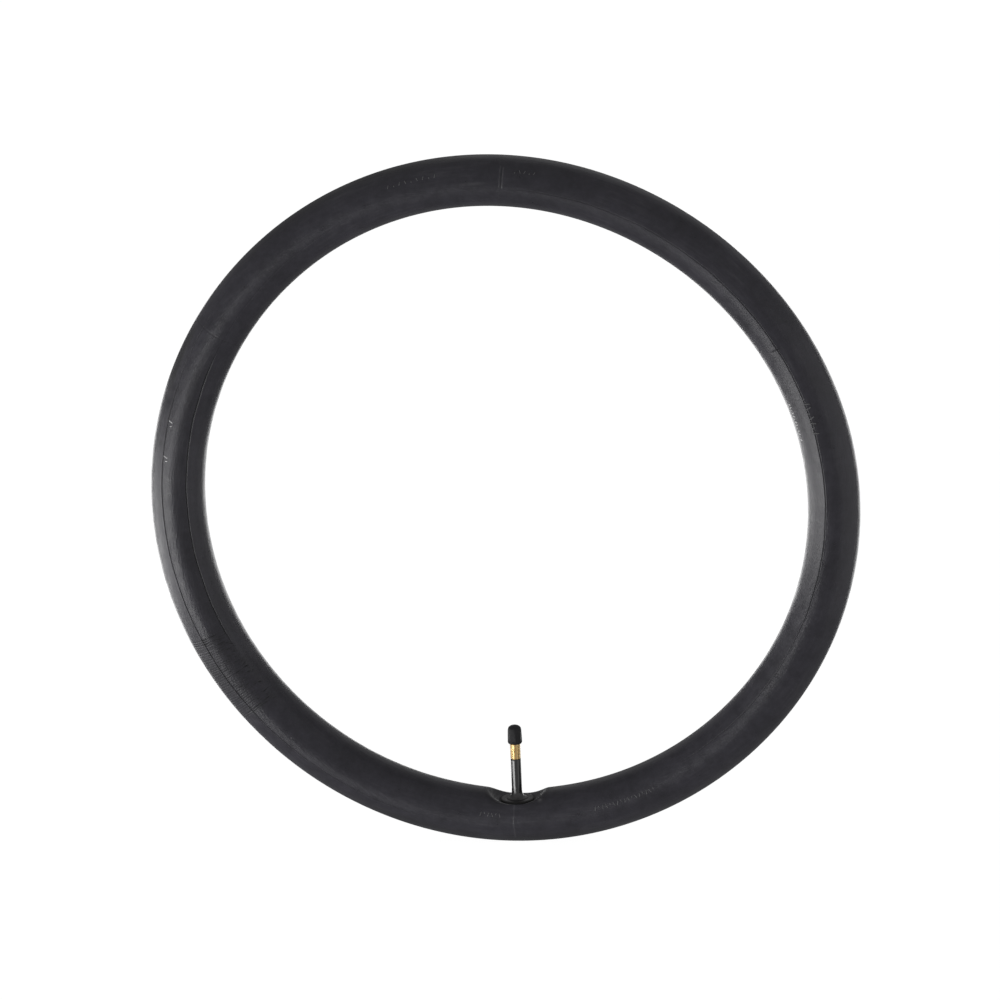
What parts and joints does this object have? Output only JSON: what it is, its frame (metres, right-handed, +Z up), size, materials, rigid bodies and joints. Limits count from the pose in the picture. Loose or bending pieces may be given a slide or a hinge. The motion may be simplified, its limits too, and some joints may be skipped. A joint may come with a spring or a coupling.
{
  "type": "bicycle inner tube",
  "caption": "Lightly inflated butyl bicycle inner tube: a round ring with a long rubber-covered car-type valve, a sprung valve core and a screw-on dust cap.",
  "frame": {"origin": "centre of the ring, where the wheel's axle would pass", "axes": "+Y along the wheel's axle, across the tube; +Z up, along the valve from its base at the bottom of the ring to its tip; +X to the right"},
  "size_m": [0.528, 0.0378, 0.528],
  "materials": {
    "butyl": "matt, dusted with talc",
    "moulded_rubber": "satin",
    "stem_rubber": "glossy",
    "brass": "bright turned brass",
    "ptfe": "waxy",
    "spring_steel": "drawn wire",
    "seal_rubber": "matt",
    "cap_plastic": "satin moulded"
  },
  "bodies": {
    "tube": {"tube_body": "butyl", "base_patch": "moulded_rubber", "stem_cover": "stem_rubber", "valve_stem": "brass", "core_plug": "brass", "core_barrel": "brass", "core_gasket": "ptfe", "core_spring": "spring_steel"},
    "core_pin": {"core_pin": "brass", "core_cup": "brass", "core_cup_seal": "seal_rubber"},
    "cap_seal": {"cap_washer": "seal_rubber"},
    "cap": {"dust_cap": "cap_plastic"}
  },
  "joints": [
    {"name": "pin_press", "type": "slide", "parent": "tube", "child": "core_pin", "axis": [0, 0, -1], "range_m": [0, 0.0015], "stiffness_N_per_m": 400, "springref_m": -0.004, "deforming": ["core_spring"]},
    {"name": "cap_lift", "type": "slide", "parent": "tube", "child": "cap_seal", "axis": [0, 0, 1], "range_m": [0, 0.01984]},
    {"name": "cap_turn", "type": "hinge", "parent": "cap_seal", "child": "cap", "pos_m": [0, 0, -0.1826], "axis": [0, 0, 1], "range_deg": [0, 9005]}
  ],
  "couplings": [
    {"joint": "cap_turn", "follows": "cap_lift", "rad_per_m": 7915.8}
  ]
}
